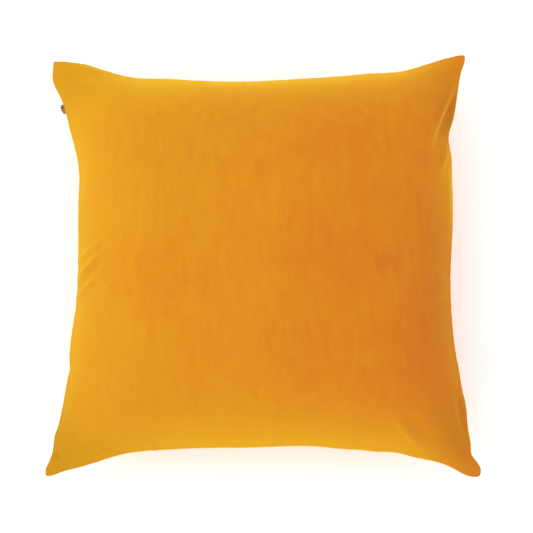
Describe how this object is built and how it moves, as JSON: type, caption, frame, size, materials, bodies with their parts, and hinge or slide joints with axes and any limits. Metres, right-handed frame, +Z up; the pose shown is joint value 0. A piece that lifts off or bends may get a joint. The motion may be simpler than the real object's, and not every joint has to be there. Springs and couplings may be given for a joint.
{
  "type": "throw pillow",
  "caption": "Square knife-edge throw cushion in plain golden velvet, with drawn-in sides, pointed corners and a hidden side zip over a stuffed inner cushion.",
  "frame": {"origin": "middle of the patch that the cushion rests on, lying on its back", "axes": "+Z up out of the front crown, +Y towards the top side, the zip is in the seam on the -X side"},
  "size_m": [0.48, 0.48, 0.152],
  "materials": {
    "cover_velvet": "cut-pile velvet, soft sheen",
    "cover_thread": "matt polyester thread",
    "overlock_thread": "matt textured thread",
    "zip_tape": "flat woven tape",
    "zip_coil": "smooth nylon",
    "zip_metal": "dyed to match, satin",
    "label": "satin ribbon, blank",
    "insert_cotton": "plain matt cotton",
    "insert_thread": "matt cotton thread",
    "fibre": "loose white fibre"
  },
  "bodies": {
    "cushion": {"front_panel": "cover_velvet", "back_panel": "cover_velvet", "cover_seam_thread": "cover_thread", "overlock_edge": "overlock_thread", "zip_tape_front": "zip_tape", "zip_tape_back": "zip_tape", "zip_coil_front": "zip_coil", "zip_coil_back": "zip_coil", "zip_stitching": "cover_thread", "zip_top_stops": "zip_metal", "zip_bottom_stop": "zip_metal", "zip_bar_tacks": "cover_thread", "care_label": "label", "insert_front": "insert_cotton", "insert_back": "insert_cotton", "insert_seam_thread": "insert_thread", "insert_closing_stitch": "insert_thread", "insert_filling": "fibre"},
    "zip_slider": {"zip_slider": "zip_metal"},
    "zip_pull": {"zip_pull": "zip_metal"}
  },
  "joints": [
    {"name": "zip_travel", "type": "hinge", "parent": "cushion", "child": "zip_slider", "pos_m": [-1.09623, 0, 0.072], "axis": [0, 0, 1], "range_deg": [-24.22, 0]},
    {"name": "pull_swing", "type": "hinge", "parent": "zip_slider", "child": "zip_pull", "pos_m": [-0.22887, 0.18432, 0.072], "axis": [-0.2079, 0.9782, 0], "range_deg": [-12, 165]}
  ]
}
